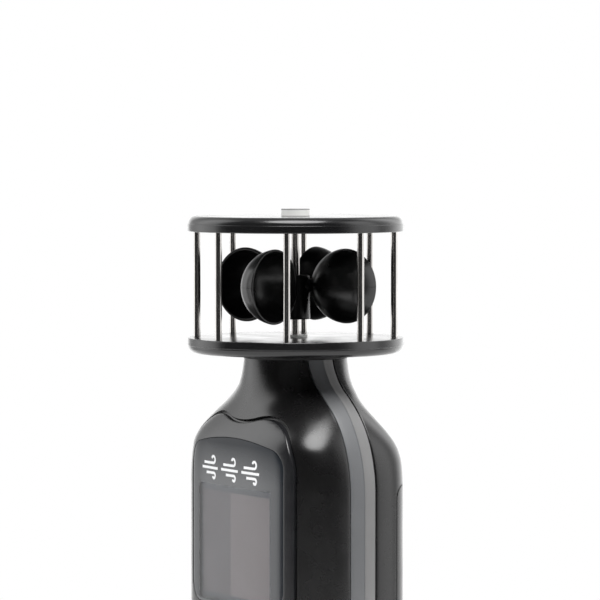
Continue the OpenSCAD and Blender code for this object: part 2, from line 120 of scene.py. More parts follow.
# Front panel
BEZEL_HW = 23.3
BEZEL_TOP = CASE_H - 13.2
BEZEL_LOW = 12.0
BEZEL_CORNER = 13.0
BEZEL_SEAT = 0.9
BEZEL_PROUD = 0.2
GROOVE = 0.7
DIP_R = 27.4
DIP_H = 1.35
WINDOW_HW = 20.5
WINDOW_TOP = CASE_H - 18
WINDOW_CORNER = 5.0
WINDOW_ARCH_R = 85.0
LENS_PROUD = 0.1
LENS_LOW = -0.25
LCD_DEPTH = 15.9
LCD_TOP, LCD_LOW, LCD_HW = 70.1, 46.3, 15.1
# Painted shade on the display ends at this x: left of it the display is drawn darker.
LCD_SHADE_EDGE_X = -2.5
PANE_TOP, PANE_LOW, PANE_HW = 72.0, 44.5, 16.5
WINDOW_H = 38.9
WINDOW_LOW = WINDOW_TOP - WINDOW_H
KEY_X = 9.5
KEY_Z = 31.0
KEY_R = 4.5
KEY_PROUD = 0.6
KEY_BACK = CASE_HD - 3.5
KEY_FLANGE = 0.6
KEY_FLANGE_R = 5.3


# ---------------------------------------------------------------- meshes

def piece(name, verts, faces, material, body, slot, *nodes, sharp=32):
    """Makes a mesh object from points in millimetres and hangs it on its body."""
    mesh = bpy.data.meshes.new(name)
    mesh.from_pydata([Vector(v) * MM for v in verts], [], faces)
    mesh.validate()
    mesh.polygons.foreach_set("use_smooth", [True] * len(mesh.polygons))
    mesh.set_sharp_from_angle(angle=math.radians(sharp))
    mesh.materials.append(material)
    obj = bpy.data.objects.new(name, mesh)
    bpy.context.scene.collection.objects.link(obj)
    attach(obj, body)
    if nodes:
        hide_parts(*nodes)
    return obj


def arc(cx, cy, r, start, end, steps):
    return [
        (cx + r * math.cos(math.radians(start + (end - start) * i / steps)),
         cy + r * math.sin(math.radians(start + (end - start) * i / steps)))
        for i in range(steps + 1)
    ]


def lathe(profile, steps, closed):
    """Turns a list of (radius, height) round Z. A closed profile makes a ring."""
    verts = []
    for radius, height in profile:
        for k in range(steps):
            a = 2 * math.pi * k / steps
            verts.append((radius * math.cos(a), radius * math.sin(a), height))
    count = len(profile)
    faces = []
    for j in range(count if closed else count - 1):
        low_row, high_row = j * steps, (j + 1) % count * steps
        for k in range(steps):
            n = (k + 1) % steps
            faces.append((low_row + k, low_row + n, high_row + n, high_row + k))
    if not closed:
        faces.append(tuple(reversed(range(steps))))
        faces.append(tuple((count - 1) * steps + k for k in range(steps)))
    return verts, faces


def joined(*parts):
    """Puts several (verts, faces) pairs in one."""
    verts, faces = [], []
    for part_verts, part_faces in parts:
        start = len(verts)
        verts.extend(part_verts)
        faces.extend(tuple(start + i for i in f) for f in part_faces)
    return verts, faces


def turned(part, degrees, at=(0, 0, 0)):
    """Turns a part round Z and moves it."""
    c, s = math.cos(math.radians(degrees)), math.sin(math.radians(degrees))
    verts = [(x * c - y * s + at[0], x * s + y * c + at[1], z + at[2]) for x, y, z in part[0]]
    return verts, part[1]


def tipped_to_x(part):
    """Turns a part so that its +Z points along +X."""
    return [(z, y, -x) for x, y, z in part[0]], part[1]


def tipped_to_y(part):
    """Turns a part so that its +Z points along +Y."""
    return [(x, z, -y) for x, y, z in part[0]], part[1]


def box_part(low_corner, high_corner):
    xs, ys, zs = zip(low_corner, high_corner)
    verts = [(x, y, z) for z in zs for y in ys for x in xs]
    faces = [(0, 2, 3, 1), (4, 5, 7, 6), (0, 1, 5, 4), (2, 6, 7, 3), (0, 4, 6, 2), (1, 3, 7, 5)]
    return verts, faces


# ---------------------------------------------------------------- the case's curves

def smooth(t):
    t = min(1.0, max(0.0, t))
    return t * t * (3 - 2 * t)


def ridge_w(z):
    if z > TURN_Z:
        return NECK_HW + NECK_FILLET - math.sqrt(NECK_FILLET ** 2 - (FLARE_Z - z) ** 2)
    if z > FULL_Z:
        return CASE_HW - SHOULDER_R + math.sqrt(SHOULDER_R ** 2 - (z - FULL_Z) ** 2)
    if z > FOOT_R:
        return CASE_HW
    return CASE_HW - FOOT_R + math.sqrt(max(0.0, FOOT_R ** 2 - (FOOT_R - z) ** 2))


def half_w(z):
    return ridge_w(z) - RIDGE_H * smooth(z / FOOT_R)


def half_d(z, lead=0.0):
    rise = smooth((DEPTH_TOP + lead - z) / (DEPTH_TOP - DEPTH_LOW))
    d = NECK_HD + (CASE_HD - NECK_HD) * rise
    if z > FOOT_D:
        return d
    return d - FOOT_D + math.sqrt(max(0.0, FOOT_D ** 2 - (FOOT_D - z) ** 2))


def power(z):
    return 2 + (SQUARENESS - 2) * smooth((SQUARE_TOP - z) / (SQUARE_TOP - SQUARE_LOW))


def depth_at(x, z):
    """Depth of the case's front at x and z."""
    room = max(0.0, 1 - (abs(x) / half_w(z)) ** power(z))
    return half_d(z, FRONT_LEAD) * room ** (1 / power(z))


def shell_edge_x(z, lead):
    """Half width of the case where the side bands end."""
    return half_w(z) * (1 - (BAND_W / half_d(z, lead)) ** power(z)) ** (1 / power(z))


def levels(steps_foot, steps_side, steps_top):
    """Heights for the case's rings, closer where the outline bends."""
    out = [FOOT_R * (1 - math.cos(math.pi / 2 * t / steps_foot)) for t in range(steps_foot + 1)]
    out += [FOOT_R + (FULL_Z - FOOT_R) * t / steps_side for t in range(1, steps_side + 1)]
    out += [FULL_Z + (CASE_H - FULL_Z) * t / steps_top for t in range(1, steps_top + 1)]
    return out


def half_case(lead, steps=112, edge_r=0.3):
    """The rear half of the hollow case. Its edges along the band are rounded."""
    rows = levels(14, 20, 64)
    outer, inner = [], []
    for z in rows:
        edge_x = shell_edge_x(z, lead)
        edge = [(edge_x - edge_r * (1 - math.cos(t)), BAND_W + edge_r * (1 - math.sin(t)))
                for t in [math.pi / 2 * k / 4 for k in range(4, 0, -1)]]
        body = half_ring(half_w(z), half_d(z, lead), power(z), BAND_W + edge_r, steps)
        path = edge + body + [(-x, y) for x, y in reversed(edge)]
        outer.append([(x, y, z) for x, y in path])
        zi = WALL + z * (CASE_H - 2 * WALL) / CASE_H
        path = half_ring(half_w(zi) - WALL, half_d(zi, lead) - WALL, power(zi), BAND_W,
                         len(path) - 1)
        inner.append([(x, y, zi) for x, y in path])
    count = len(outer[0])
    verts = [p for r in outer for p in r] + [p for r in inner for p in r]
    n, m = count - 1, len(rows) - 1
    first_inner = count * len(rows)
    faces = []
    for j in range(m):
        for i in range(n):
            a = j * count + i
            faces.append((a, a + 1, a + 1 + count, a + count))
            b = first_inner + a
            faces.append((b, b + count, b + 1 + count, b + 1))
        a, b = j * count, (j + 1) * count
        faces.append((a, b, first_inner + b, first_inner + a))
        faces.append((a + n, first_inner + a + n, first_inner + b + n, b + n))
    top = m * count
    faces.append(tuple(reversed(range(count))))
    faces.append(tuple(top + i for i in range(count)))
    faces.append(tuple(first_inner + i for i in range(count)))
    faces.append(tuple(first_inner + top + i for i in reversed(range(count))))
    faces.append((0, first_inner, first_inner + n, n))
    faces.append((top, top + n, first_inner + top + n, first_inner + top))
    return verts, faces


def half_ring(w, d, n, low_y, steps):
    """Half a superellipse of half sizes w and d, from depth low_y round the back to low_y."""
    first = math.asin((low_y / d) ** (n / 2))
    ring = []
    for i in range(steps + 1):
        a = first + (math.pi - 2 * first) * i / steps
        c = math.cos(a)
        ring.append((w * math.copysign(abs(c) ** (2 / n), c), d * math.sin(a) ** (2 / n)))
    return ring


def mirrored_y(part):
    return [(x, -y, z) for x, y, z in part[0]], [tuple(reversed(f)) for f in part[1]]


def half_band(lead):
    """One side band on the rear side: down one side, under the base and up the other.
    A fine bead runs along its inner edge, where the two bands meet."""
    stations = []
    low_y, high_y = 0.02, BAND_W - 0.14
    bead, r = 0.2, 0.22
    for z in levels(14, 20, 64):
        zi = WALL + z * (CASE_H - WALL) / CASE_H
        ridge, edge = ridge_w(z), shell_edge_x(z, lead)
        inner_x = half_w(zi) - WALL
        section = [
            (inner_x, low_y, zi),
            (ridge - 0.3, low_y, z),
            (ridge + 0.02, low_y, z),
            (ridge + 0.02, low_y + bead * 0.6, z),
            (ridge - 0.07, low_y + bead, z),
            (ridge - 0.07, low_y + bead * 1.6, z),
        ]
        for t in (0.14, 0.3, 0.5, 0.7, 0.88):
            y = low_y + (high_y - low_y) * t
            bow = 0.12 * smooth(z / 4) * math.sin(math.pi * t)
            section.append((ridge + (edge - ridge) * t - 0.04 + bow, y, z))
        section += [
            (edge - 0.04 - r * 0.1, high_y - r * 0.6, z),
            (edge - 0.04 - r * 0.45, high_y - r * 0.2, z),
            (edge - r - 0.25, high_y, z),
            (inner_x, high_y, zi),
        ]
        stations.append(section)
    sweep = list(reversed(stations)) + [[(-x, y, z) for x, y, z in s] for s in stations]
    count = len(stations[0])
    verts = [p for s in sweep for p in s]
    faces = []
    for k in range(len(sweep) - 1):
        for i in range(count):
            j = (i + 1) % count
            faces.append((k * count + i, k * count + j, (k + 1) * count + j, (k + 1) * count + i))
    faces.append(tuple(reversed(range(count))))
    faces.append(tuple((len(sweep) - 1) * count + i for i in range(count)))
    return verts, faces


# ---------------------------------------------------------------- panels on the curved front

def inside(p, outline):
    """Whether point p lies inside a closed outline."""
    x, y = p
    hit = False
    for i, (x1, y1) in enumerate(outline):
        x2, y2 = outline[i - 1]
        if (y1 > y) != (y2 > y) and x < (x2 - x1) * (y - y1) / (y2 - y1) + x1:
            hit = not hit
    return hit


def spaced(outline, step):
    """The same closed outline with points about step apart."""
    out = []
    for i, a in enumerate(outline):
        b = outline[(i + 1) % len(outline)]
        length = math.dist(a, b)
        n = max(1, round(length / step))
        out += [(a[0] + (b[0] - a[0]) * k / n, a[1] + (b[1] - a[1]) * k / n) for k in range(n)]
    return out


def shrunk(outline, by):
    """A closed anticlockwise outline drawn in by a small distance."""
    out = []
    n = len(outline)
    for i in range(n):
        (x0, y0), (x1, y1) = outline[i - 1], outline[(i + 1) % n]
        dx, dy = x1 - x0, y1 - y0
        length = math.hypot(dx, dy)
        out.append((outline[i][0] - by * dy / length, outline[i][1] + by * dx / length))
    return out


def filled(outline, holes, step):
    """Triangles over an outline with holes, with a grid of points inside."""
    points, edges = [], []
    for loop in [outline] + holes:
        first = len(points)
        points += loop
        edges += [(first + i, first + (i + 1) % len(loop)) for i in range(len(loop))]
    xs, ys = [p[0] for p in outline], [p[1] for p in outline]
    nx = int((max(xs) - min(xs)) / step)
    ny = int((max(ys) - min(ys)) / step)
    near = step * 0.45
    rim = points[:]
    for i in range(1, nx + 1):
        for j in range(1, ny + 1):
            p = (min(xs) + step * i, min(ys) + step * j)
            if not inside(p, outline) or any(inside(p, h) for h in holes):
                continue
            if min(abs(p[0] - q[0]) + abs(p[1] - q[1]) for q in rim) < near:
                continue
            points.append(p)
    verts, _, tris, _, _, _ = delaunay_2d_cdt([Vector(p) for p in points], edges, [], 0, 1e-7)
    faces = []
    for t in tris:
        c = (sum(verts[i].x for i in t) / 3, sum(verts[i].y for i in t) / 3)
        if inside(c, outline) and not any(inside(c, h) for h in holes):
            faces.append(tuple(t))
    return [(v.x, v.y) for v in verts], faces


def front_panel(outline, holes, rims, step=1.2):
    """A plate on the curved front of the case, with holes in it. Its rims run from the top
    face to the underside: each is how far the edge is drawn in and its height over the case."""
    loops = [outline] + [list(reversed(h)) for h in holes]
    verts, faces = [], []

    def add(p, lift):
        verts.append((p[0], -depth_at(*p) - lift, p[1]))
        return len(verts) - 1

    def cap(draw_in, lift, flip):
        drawn = [shrunk(loop, draw_in) for loop in loops]
        points, tris = filled(drawn[0], [list(reversed(d)) for d in drawn[1:]], step)
        place = [add(p, lift) for p in points]
        faces.extend(tuple(place[i] for i in (reversed(t) if flip else t)) for t in tris)
        return [[place[nearest(points, p)] for p in d] for d in drawn]

    rows = [cap(*rims[0], False)]
    for draw_in, lift in rims[1:-1]:
        rows.append([[add(p, lift) for p in shrunk(loop, draw_in)] for loop in loops])
    rows.append(cap(*rims[-1], True))
    for upper, lower in zip(rows, rows[1:]):
        for r0, r1 in zip(upper, lower):
            for i in range(len(r0)):
                j = (i + 1) % len(r0)
                faces.append((r0[i], r1[i], r1[j], r0[j]))
    return verts, faces


def nearest(points, p):
    """Number of the point that lies nearest to p."""
    return min(range(len(points)), key=lambda i: math.dist(points[i], p))


def rounded_rims(top, bottom, r, steps=5):
    """Rims of a plate whose upper edge is rounded with radius r."""
    turns = [math.pi / 2 * k / steps for k in range(steps + 1)]
    return [(r * (1 - math.sin(t)), top - r * (1 - math.cos(t))) for t in turns] + [(0.0, bottom)]


def bezel_outline():
    """The panel's outline, anticlockwise in x and z, with a dip in its top edge."""
    hw, top, bottom, r = BEZEL_HW, BEZEL_TOP, BEZEL_LOW, BEZEL_CORNER
    out = arc(hw - r, top - r, r, 0, 90, 22)

    def dip(x):
        return max(0.0, DIP_H - DIP_R + math.sqrt(DIP_R ** 2 - x ** 2))

    flat = hw - r
    for i in range(1, 40):
        x = flat * (1 - 2 * i / 40)
        depth = sum(dip(x + 0.45 * k) for k in range(-4, 5)) / 9
        out.append((x, top - depth))
    out += arc(-hw + r, top - r, r, 90, 180, 22)
    out += arc(-hw + r, bottom + r, r, 180, 270, 18)
    out += arc(hw - r, bottom + r, r, 270, 360, 18)
    return spaced(out, 1.0)


def window_outline(grow=0.0):
    """The window's outline, with an arched top edge."""
    hw, bottom, r = WINDOW_HW + grow, WINDOW_LOW - grow, WINDOW_CORNER
    arch_r = WINDOW_ARCH_R + grow
    middle = WINDOW_TOP - WINDOW_ARCH_R
    # The corner's arc is tangent to the side and to the arch
    tilt = math.asin((hw - r) / (arch_r - r))
    corner_z = middle + (arch_r - r) * math.cos(tilt)
    lean = math.degrees(tilt)
    out = arc(hw - r, corner_z, r, 0, 90 - lean, 12)
    out += arc(0, middle, arch_r, 90 - lean, 90 + lean, 44)[1:-1]
    out += arc(-hw + r, corner_z, r, 90 + lean, 180, 12)
    out += arc(-hw + r, bottom + r, r, 180, 270, 10)
    out += arc(hw - r, bottom + r, r, 270, 360, 10)
    return spaced(out, 1.0)


def circle_outline(x, z, r, steps=40):
    return arc(x, z, r, 0, 360 - 360 / steps, steps - 1)


# ---------------------------------------------------------------- materials

def material(name):
    m = bpy.data.materials.new(name)
    m.use_nodes = True
    tree = m.node_tree
    shader = tree.nodes["Principled BSDF"]
    return m, tree, shader


def object_place(tree, scale=1.0):
    place = tree.nodes.new("ShaderNodeTexCoord")
    mapping = tree.nodes.new("ShaderNodeMapping")
    mapping.inputs["Scale"].default_value = (scale, scale, scale)
    tree.links.new(place.outputs["Object"], mapping.inputs["Vector"])
    return mapping.outputs["Vector"]


def noise(tree, place, scale, detail=3.0, roughness=0.5):
    node = tree.nodes.new("ShaderNodeTexNoise")
    node.inputs["Scale"].default_value = scale
    node.inputs["Detail"].default_value = detail
    node.inputs["Roughness"].default_value = roughness
    tree.links.new(place, node.inputs["Vector"])
    return node.outputs["Fac"]


def ramp(tree, value, stops):
    node = tree.nodes.new("ShaderNodeValToRGB")
    elements = node.color_ramp.elements
    while len(elements) < len(stops):
        elements.new(0.5)
    for element, (at, colour) in zip(elements, stops):
        element.position = at
        element.color = (*colour, 1) if len(colour) == 3 else colour
    tree.links.new(value, node.inputs["Fac"])
    return node.outputs["Color"]


def grey(v):
    return (v, v, v)


def bump(tree, height, strength, distance):
    node = tree.nodes.new("ShaderNodeBump")
    node.inputs["Strength"].default_value = strength
    node.inputs["Distance"].default_value = distance
    tree.links.new(height, node.inputs["Height"])
    return node.outputs["Normal"]


def plastic(name, dark, light, rough, grain=0.25, grain_size=1400, gloss=0.5):
    """Moulded plastic: a slight drift of colour, an uneven gloss and a fine grain."""
    m, tree, shader = material(name)
    place = object_place(tree)
    drift = noise(tree, place, 55, 4)
    tree.links.new(ramp(tree, drift, [(0.3, dark), (0.7, light)]), shader.inputs["Base Color"])
    haze = noise(tree, place, 140, 5, 0.6)
    tree.links.new(
        ramp(tree, haze, [(0.25, grey(rough[0])), (0.75, grey(rough[1]))]),
        shader.inputs["Roughness"])
    shader.inputs["Specular IOR Level"].default_value = gloss
    fine = noise(tree, place, grain_size, 2)
    tree.links.new(bump(tree, fine, grain, 0.00003), shader.inputs["Normal"])
    return m


def metal(name, dark, light, rough, along=(1, 1, 1), lines=900, strength=0.15):
    """Drawn or turned metal: fine lines along its length and small dull patches."""
    m, tree, shader = material(name)
    place = tree.nodes.new("ShaderNodeTexCoord")
    mapping = tree.nodes.new("ShaderNodeMapping")
    mapping.inputs["Scale"].default_value = along
    tree.links.new(place.outputs["Object"], mapping.inputs["Vector"])
    streak = noise(tree, mapping.outputs["Vector"], lines, 3)
    patch = noise(tree, place.outputs["Object"], 160, 4)
    tree.links.new(ramp(tree, patch, [(0.3, dark), (0.7, light)]), shader.inputs["Base Color"])
    tree.links.new(
        ramp(tree, streak, [(0.3, grey(rough[0])), (0.7, grey(rough[1]))]),
        shader.inputs["Roughness"])
    shader.inputs["Metallic"].default_value = 1.0
    tree.links.new(bump(tree, streak, strength, 0.00002), shader.inputs["Normal"])
    return m


CASE_BLACK = plastic("case_black", (0.0036, 0.0034, 0.0036), (0.0052, 0.0050, 0.0052),
                     (0.23, 0.31), grain=0.3, grain_size=2600)
DISC_BLACK = plastic("disc_black", (0.006, 0.006, 0.0065), (0.010, 0.010, 0.0105),
                     (0.17, 0.25), grain=0.2, grain_size=2200)
ROTOR_BLACK = plastic("rotor_black", (0.0030, 0.0030, 0.0031), (0.0050, 0.0050, 0.0052),
                      (0.26, 0.36), grain=0.25, grain_size=1800)
# The two side bands are one grey plastic: the front band's darker grey is painted shade, the rear
# band's lighter grey is painted light, for how each band faces the light.
BAND_SHADED_GREY = plastic("band_grey_shaded", (0.102, 0.105, 0.110), (0.123, 0.126, 0.131),
                    (0.48, 0.6), grain=0.5, grain_size=3000)
BAND_LIT_GREY = plastic("band_grey_lit", (0.142, 0.141, 0.141), (0.168, 0.167, 0.167),
                     (0.46, 0.58), grain=0.5, grain_size=3000)
BEZEL_GREY = plastic("bezel_grey", (0.010, 0.0103, 0.0115), (0.015, 0.0153, 0.017),
                     (0.2, 0.28), grain=0.35, grain_size=2600)
KEY_GREY = plastic("key_grey", (0.10, 0.105, 0.112), (0.13, 0.135, 0.142),
                   (0.5, 0.62), grain=0.5, grain_size=3200)
SEAL_BLACK = plastic("seal_black", (0.004, 0.004, 0.004), (0.007, 0.007, 0.007),
                     (0.6, 0.75), grain=0.4, grain_size=2600, gloss=0.3)
# Painted shade: the grey for the cap's top face
CAP_TOP_SHADE_GREY = plastic("cap_top_shade_grey", (0.30, 0.30, 0.30), (0.36, 0.36, 0.36),
                   (0.45, 0.55), grain=0.2, grain_size=2400)
CAP_WHITE = plastic("cap_white", (0.90, 0.90, 0.88), (0.95, 0.95, 0.93),
                    (0.35, 0.45), grain=0.2, grain_size=2400)
PRINT_WHITE = plastic("print_white", (0.80, 0.81, 0.82), (0.88, 0.88, 0.89),
                      (0.35, 0.45), grain=0.2, grain_size=4000)
FRAME_WHITE = plastic("frame_white", (0.72, 0.72, 0.69), (0.8, 0.8, 0.77),
                      (0.4, 0.5), grain=0.3, grain_size=2400)
INNER_BLACK = plastic("inner_black", (0.02, 0.02, 0.021), (0.03, 0.03, 0.031),
                      (0.42, 0.55), grain=0.4, grain_size=2400)
RIBBON = plastic("ribbon", (0.52, 0.52, 0.49), (0.62, 0.62, 0.59),
                 (0.4, 0.5), grain=0.3, grain_size=3000)
FERRITE = plastic("ferrite", (0.03, 0.03, 0.032), (0.055, 0.055, 0.058),
                  (0.55, 0.7), grain=0.6, grain_size=3400)
ROD_STEEL = metal("rod_steel", (0.50, 0.485, 0.47), (0.62, 0.60, 0.585), (0.12, 0.22),
                  along=(1, 1, 0.03), lines=5200)
BRASS = metal("brass", (0.5, 0.34, 0.13), (0.66, 0.47, 0.2), (0.22, 0.36),
              along=(1, 1, 0.2), lines=2600)
SCREW_STEEL = metal("screw_steel", (0.5, 0.5, 0.5), (0.62, 0.62, 0.62), (0.25, 0.4),
                    along=(1, 1, 1), lines=2200)
NICKEL = metal("nickel", (0.55, 0.54, 0.52), (0.68, 0.67, 0.65), (0.2, 0.34),
               along=(1, 0.1, 1), lines=2600)


def striped(name, axis, size, one, other, rough, share=0.5):
    """Two colours in stripes of a given width in millimetres, across one axis."""
    m, tree, shader = material(name)
    place = object_place(tree)
    split = tree.nodes.new("ShaderNodeSeparateXYZ")
    tree.links.new(place, split.inputs["Vector"])
    wrap = tree.nodes.new("ShaderNodeMath")
    wrap.operation = "WRAP"
    wrap.inputs[1].default_value = size * MM
    wrap.inputs[2].default_value = 0.0
    tree.links.new(split.outputs[axis], wrap.inputs[0])
    scale = tree.nodes.new("ShaderNodeMath")
    scale.operation = "DIVIDE"
    scale.inputs[1].default_value = size * MM
    tree.links.new(wrap.outputs[0], scale.inputs[0])
    tree.links.new(ramp(tree, scale.outputs[0], [(share - 0.03, one), (share + 0.03, other)]),
                   shader.inputs["Base Color"])
    haze = noise(tree, place, 180, 4)
    tree.links.new(ramp(tree, haze, [(0.3, grey(rough[0])), (0.7, grey(rough[1]))]),
                   shader.inputs["Roughness"])
    return m


def speckled(name, ground, track, rough):
    """Solder mask over copper tracks: cells of a slightly paler green."""
    m, tree, shader = material(name)
    place = object_place(tree)
    cells = tree.nodes.new("ShaderNodeTexVoronoi")
    cells.feature = "DISTANCE_TO_EDGE"
    cells.inputs["Scale"].default_value = 260
    tree.links.new(place, cells.inputs["Vector"])
    tree.links.new(ramp(tree, cells.outputs["Distance"], [(0.05, track), (0.09, ground)]),
                   shader.inputs["Base Color"])
    haze = noise(tree, place, 180, 4)
    tree.links.new(ramp(tree, haze, [(0.3, grey(rough[0])), (0.7, grey(rough[1]))]),
                   shader.inputs["Roughness"])
    return m


CONNECTOR = striped("connector_stripes", "X", 0.5, (0.62, 0.22, 0.32), (0.03, 0.03, 0.03),
                    (0.5, 0.65))
CELL_JACKET = striped("cell_jacket", "Z", 44.5, (0.42, 0.14, 0.05), (0.05, 0.05, 0.055),
                      (0.25, 0.38), share=0.7)
BOARD_GREEN = speckled("board_green", (0.012, 0.11, 0.045), (0.03, 0.19, 0.08), (0.3, 0.42))


def math_node(tree, kind, a, b=None, value=None):
    node = tree.nodes.new("ShaderNodeMath")
    node.operation = kind
    tree.links.new(a, node.inputs[0])
    if b is not None:
        tree.links.new(b, node.inputs[1])
    if value is not None:
        node.inputs[1].default_value = value
    return node.outputs[0]


def map_range(tree, value, start, end, from_value, to_value):
    node = tree.nodes.new("ShaderNodeMapRange")
    for socket, number in zip(("From Min", "From Max", "To Min", "To Max"),
                              (start, end, from_value, to_value)):
        node.inputs[socket].default_value = number
    tree.links.new(value, node.inputs["Value"])
    return node.outputs["Result"]


def within(tree, coordinate, low_value, high_value, soft):
    """1 where a coordinate in millimetres lies between two values, 0 elsewhere."""
    middle, half = (low_value + high_value) / 2, (high_value - low_value) / 2
    away = math_node(tree, "ABSOLUTE", math_node(tree, "SUBTRACT", coordinate, value=middle * MM))
    return map_range(tree, away, (half - soft) * MM, (half + soft) * MM, 1.0, 0.0)


def coloured_mix(tree, factor, one, other):
    mix = tree.nodes.new("ShaderNodeMix")
    mix.data_type = "RGBA"
    tree.links.new(factor, mix.inputs["Factor"])
    tree.links.new(one, mix.inputs["A"])
    tree.links.new(other, mix.inputs["B"])
    return mix.outputs["Result"]


SMOKE_DARK, SMOKE_LIGHT = (0.012, 0.0145, 0.0185), (0.0165, 0.0195, 0.024)


def window_material():
    """Smoked printed window. Over the display it is clear tinted glass."""
    m, tree, shader = material("window_smoke")
    place = object_place(tree)
    split = tree.nodes.new("ShaderNodeSeparateXYZ")
    tree.links.new(place, split.inputs["Vector"])
    clear = math_node(
        tree, "MULTIPLY",
        within(tree, split.outputs["X"], 0.3 - PANE_HW, PANE_HW - 0.3, 0.3),
        within(tree, split.outputs["Z"], PANE_LOW + 0.3, PANE_TOP - 0.3, 0.3))
    drift = noise(tree, place, 45, 3)
    tree.links.new(ramp(tree, drift, [(0.3, SMOKE_DARK), (0.7, SMOKE_LIGHT)]),
                   shader.inputs["Base Color"])
    haze = noise(tree, place, 120, 4)
    tree.links.new(ramp(tree, haze, [(0.3, grey(0.10)), (0.7, grey(0.15))]),
                   shader.inputs["Roughness"])
    ripple = bump(tree, noise(tree, place, 500, 2), 0.05, 0.00002)
    tree.links.new(ripple, shader.inputs["Normal"])
    # Painted shade: the reflection is turned down towards the window's top so that the top looks
    # darker.
    top_shade_specular = map_range(
        tree, split.outputs["Z"], (CASE_H - 28) * MM, (CASE_H - 19.5) * MM, 0.62, 0.1)
    tree.links.new(top_shade_specular, shader.inputs["Specular IOR Level"])
    glass = tree.nodes.new("ShaderNodeBsdfTransparent")
    glass.inputs["Color"].default_value = (0.93, 0.94, 0.96, 1)
    shine = tree.nodes.new("ShaderNodeBsdfGlossy")
    shine.inputs["Roughness"].default_value = 0.08
    fresnel = tree.nodes.new("ShaderNodeFresnel")
    fresnel.inputs["IOR"].default_value = 1.45
    pane = tree.nodes.new("ShaderNodeMixShader")
    side = tree.nodes.new("ShaderNodeNewGeometry")
    outer = map_range(tree, side.outputs["Backfacing"], 0.0, 1.0, 1.0, 0.0)
    tree.links.new(math_node(tree, "MULTIPLY", fresnel.outputs["Fac"], outer), pane.inputs["Fac"])
    tree.links.new(glass.outputs["BSDF"], pane.inputs[1])
    tree.links.new(shine.outputs["BSDF"], pane.inputs[2])
    both = tree.nodes.new("ShaderNodeMixShader")
    tree.links.new(clear, both.inputs["Fac"])
    tree.links.new(shader.outputs["BSDF"], both.inputs[1])
    tree.links.new(pane.outputs["Shader"], both.inputs[2])
    output = tree.nodes["Material Output"]
    tree.links.new(both.outputs["Shader"], output.inputs["Surface"])
    return m


def display_material():
    """Blank display in a surround of the window's own grey, with painted shade: its left part is a
    darker, shaded copy of its lit right part.
    """
    m, tree, shader = material("lcd_face")
    place = object_place(tree)
    split = tree.nodes.new("ShaderNodeSeparateXYZ")
    tree.links.new(place, split.inputs["Vector"])
    lit = math_node(
        tree, "MULTIPLY",
        within(tree, split.outputs["X"], -LCD_HW, LCD_HW, 0.06),
        within(tree, split.outputs["Z"], LCD_LOW, LCD_TOP, 0.06))
    drift = noise(tree, place, 45, 3)
    surround = ramp(tree, drift, [(0.3, SMOKE_DARK), (0.7, SMOKE_LIGHT)])
    # Painted shade: the display's left part is a darker copy of its lit right part.
    shaded_left_part = ramp(tree, drift, [(0.3, (0.044, 0.031, 0.030)), (0.7, (0.054, 0.039, 0.037))])
    lit_right_part = ramp(tree, drift, [(0.3, (0.106, 0.080, 0.072)), (0.7, (0.124, 0.095, 0.086))])
    # Switches from the painted shade on the left to the lit right part of the display.
    side = map_range(tree, split.outputs["X"], (LCD_SHADE_EDGE_X - 0.3) * MM, (LCD_SHADE_EDGE_X + 0.3) * MM,
                     0.0, 1.0)
    face = coloured_mix(tree, side, shaded_left_part, lit_right_part)
    tree.links.new(coloured_mix(tree, lit, surround, face), shader.inputs["Base Color"])
    haze = noise(tree, place, 120, 4)
    tree.links.new(ramp(tree, haze, [(0.3, grey(0.45)), (0.7, grey(0.55))]),
                   shader.inputs["Roughness"])
    return m


WINDOW_SMOKE = window_material()
LCD_FACE = display_material()


# ---------------------------------------------------------------- the wind cage

def disc_profile(spigot):
    """Disc lying on height 0: a straight lower edge and a rounded upper tier.
    A spigot of that height may stand on it."""
    t, r = DISC_T, DISC_R
    profile = [(BORE_R, 0.0), (r - 0.35, 0.0)]
    profile += arc(r - 0.25, 0.25, 0.25, -70, 0, 4)
    profile += [(r, 1.0), (r, 1.58)]
    profile += arc(r - 0.12, 1.62, 0.12, 0, 60, 3)
    profile += arc(r - 2.05, 1.65, 1.9, 4, 90, 16)
    profile += [(r - 6, t - 0.04), (SPIGOT_R + 0.3, t - 0.02)]
    if spigot:
        profile += [(SPIGOT_R, t - 0.02), (SPIGOT_R, t + spigot), (BORE_R, t + spigot)]
    else:
        profile += [(BORE_R, t - 0.02)]
    return profile


def disc(name, height, down):
    verts, faces = lathe(disc_profile(BASE_LOW - CASE_H if down else 0.0), 192, True)
    if down:
        part = [(x, -y, height - z) for x, y, z in verts], faces
    else:
        part = [(x, y, z + height) for x, y, z in verts], faces
    return piece(name, *part, DISC_BLACK, "meter", "black_disc")


top = disc("top_disc_body", TOP_LOW, False)
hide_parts("top_disc")
base = disc("base_disc_body", BASE_TOP, True)
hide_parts("base_disc")

# The cap is white. The thin grey plate on its top is painted shade for the top face, seen at a
# grazing angle
plug_low, shade_plate_low = TOP_HIGH - CAP_PLUG_H, TOP_HIGH + CAP_H - CAP_SHADE_PLATE
cap_profile = [(0.6, plug_low), (CAP_PLUG_R, plug_low), (CAP_PLUG_R, TOP_HIGH)]
cap_profile += [(CAP_R - 0.02, TOP_HIGH), (CAP_R - 0.02, shade_plate_low)]
cap_profile += [(0.6, shade_plate_low)]
piece("bearing_cap_body", *lathe(cap_profile, 64, False), CAP_WHITE, "meter", "cap_white",
      "bearing_cap")
# Painted shade: a grey plate over the cap's top face
shade_plate_profile = [(0.6, shade_plate_low), (CAP_R, shade_plate_low)]
shade_plate_profile += arc(CAP_R - 0.12, TOP_HIGH + CAP_H - 0.12, 0.12, 0, 90, 4)
shade_plate_profile += [(0.6, TOP_HIGH + CAP_H)]
piece("bearing_cap_shade_plate", *lathe(shade_plate_profile, 64, False), CAP_TOP_SHADE_GREY, "meter", "cap_white")

